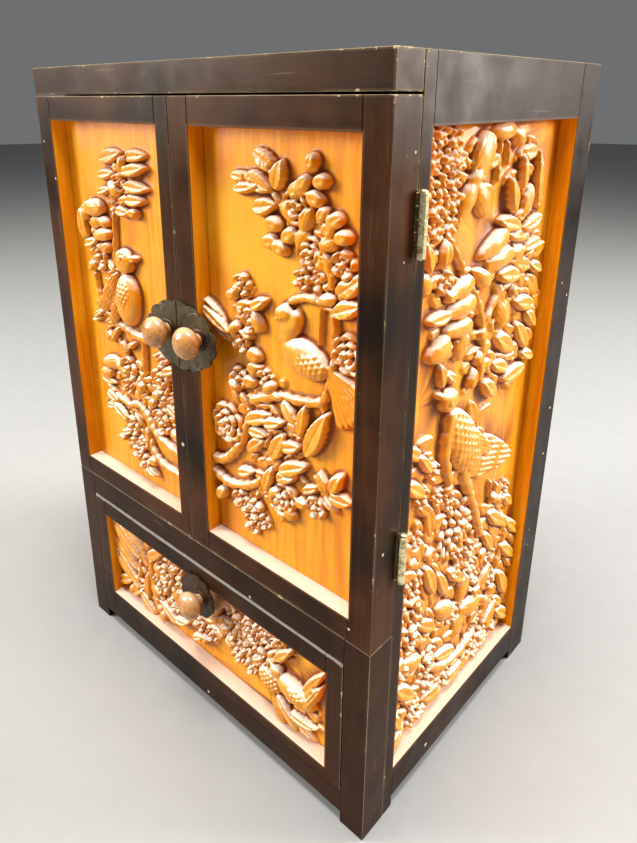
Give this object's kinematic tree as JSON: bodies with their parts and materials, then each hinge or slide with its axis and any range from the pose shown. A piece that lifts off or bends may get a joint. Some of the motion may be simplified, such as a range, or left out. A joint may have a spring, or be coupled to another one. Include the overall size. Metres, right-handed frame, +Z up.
{
  "type": "key cabinet",
  "caption": "Small free-standing wooden key cabinet: lacquered frame, carved panels, a pair of hinged doors over hook strips, and a drawer below.",
  "frame": {"origin": "on the floor, under the middle of the whole object's box, knobs and hinge knuckles included", "axes": "+Z up, the front with its doors faces -Y, +X is the viewer's right when looking at the front"},
  "size_m": [0.2602, 0.1996, 0.38],
  "materials": {
    "lacquered_wood": "satin-gloss near-black to reddish brown lacquer, worn along the edges",
    "carved_camphor": "golden varnished carving, satin-gloss",
    "bare_wood": "plain sawn boards, matt",
    "turned_wood": "turned and varnished",
    "dark_plate": "dark patinated sheet",
    "brass": "pale worn brass"
  },
  "bodies": {
    "case": {"front_top_rail": "lacquered_wood", "front_middle_rail": "lacquered_wood", "front_bottom_rail": "lacquered_wood", "front_post_right": "lacquered_wood", "front_post_left": "lacquered_wood", "side_right_front_stile": "lacquered_wood", "side_right_back_post": "lacquered_wood", "side_right_top_rail": "lacquered_wood", "side_right_bottom_rail": "lacquered_wood", "side_right_panel": "carved_camphor", "side_left_front_stile": "lacquered_wood", "side_left_back_post": "lacquered_wood", "side_left_top_rail": "lacquered_wood", "side_left_bottom_rail": "lacquered_wood", "side_left_panel": "carved_camphor", "top_board": "lacquered_wood", "compartment_floor": "bare_wood", "bottom_board": "bare_wood", "back_panel": "bare_wood", "drawer_runner_right": "bare_wood", "drawer_runner_left": "bare_wood", "key_hook_strip_upper": "brass", "key_hook_strip_lower": "brass", "hinge_right_lower_case_leaf": "brass", "hinge_right_lower_pin": "brass", "hinge_right_upper_case_leaf": "brass", "hinge_right_upper_pin": "brass", "hinge_left_lower_case_leaf": "brass", "hinge_left_lower_pin": "brass", "hinge_left_upper_case_leaf": "brass", "hinge_left_upper_pin": "brass"},
    "right_door": {"door_right_outer_stile": "lacquered_wood", "door_right_inner_stile": "lacquered_wood", "door_right_top_rail": "lacquered_wood", "door_right_bottom_rail": "lacquered_wood", "door_right_panel": "carved_camphor", "door_right_lock_plate": "dark_plate", "door_right_knob": "turned_wood", "hinge_right_lower_door_leaf": "brass", "hinge_right_upper_door_leaf": "brass"},
    "left_door": {"door_left_outer_stile": "lacquered_wood", "door_left_inner_stile": "lacquered_wood", "door_left_top_rail": "lacquered_wood", "door_left_bottom_rail": "lacquered_wood", "door_left_panel": "carved_camphor", "door_left_lock_plate": "dark_plate", "door_left_knob": "turned_wood", "hinge_left_lower_door_leaf": "brass", "hinge_left_upper_door_leaf": "brass"},
    "drawer": {"drawer_front_stile_right": "lacquered_wood", "drawer_front_stile_left": "lacquered_wood", "drawer_front_top_rail": "lacquered_wood", "drawer_front_bottom_rail": "lacquered_wood", "drawer_panel": "carved_camphor", "drawer_side_right": "bare_wood", "drawer_side_left": "bare_wood", "drawer_bottom": "bare_wood", "drawer_back": "bare_wood", "drawer_knob_plate": "dark_plate", "drawer_knob": "turned_wood"}
  },
  "joints": [
    {"name": "right_door_hinge", "type": "hinge", "parent": "case", "child": "right_door", "pos_m": [0.1279, -0.0665, 0.2425], "axis": [0, 0, 1], "range_deg": [0, 170]},
    {"name": "left_door_hinge", "type": "hinge", "parent": "case", "child": "left_door", "pos_m": [-0.1279, -0.0665, 0.2425], "axis": [0, 0, -1], "range_deg": [0, 170]},
    {"name": "drawer_slide", "type": "slide", "parent": "case", "child": "drawer", "axis": [0, -1, 0], "range_m": [0, 0.12]}
  ]
}
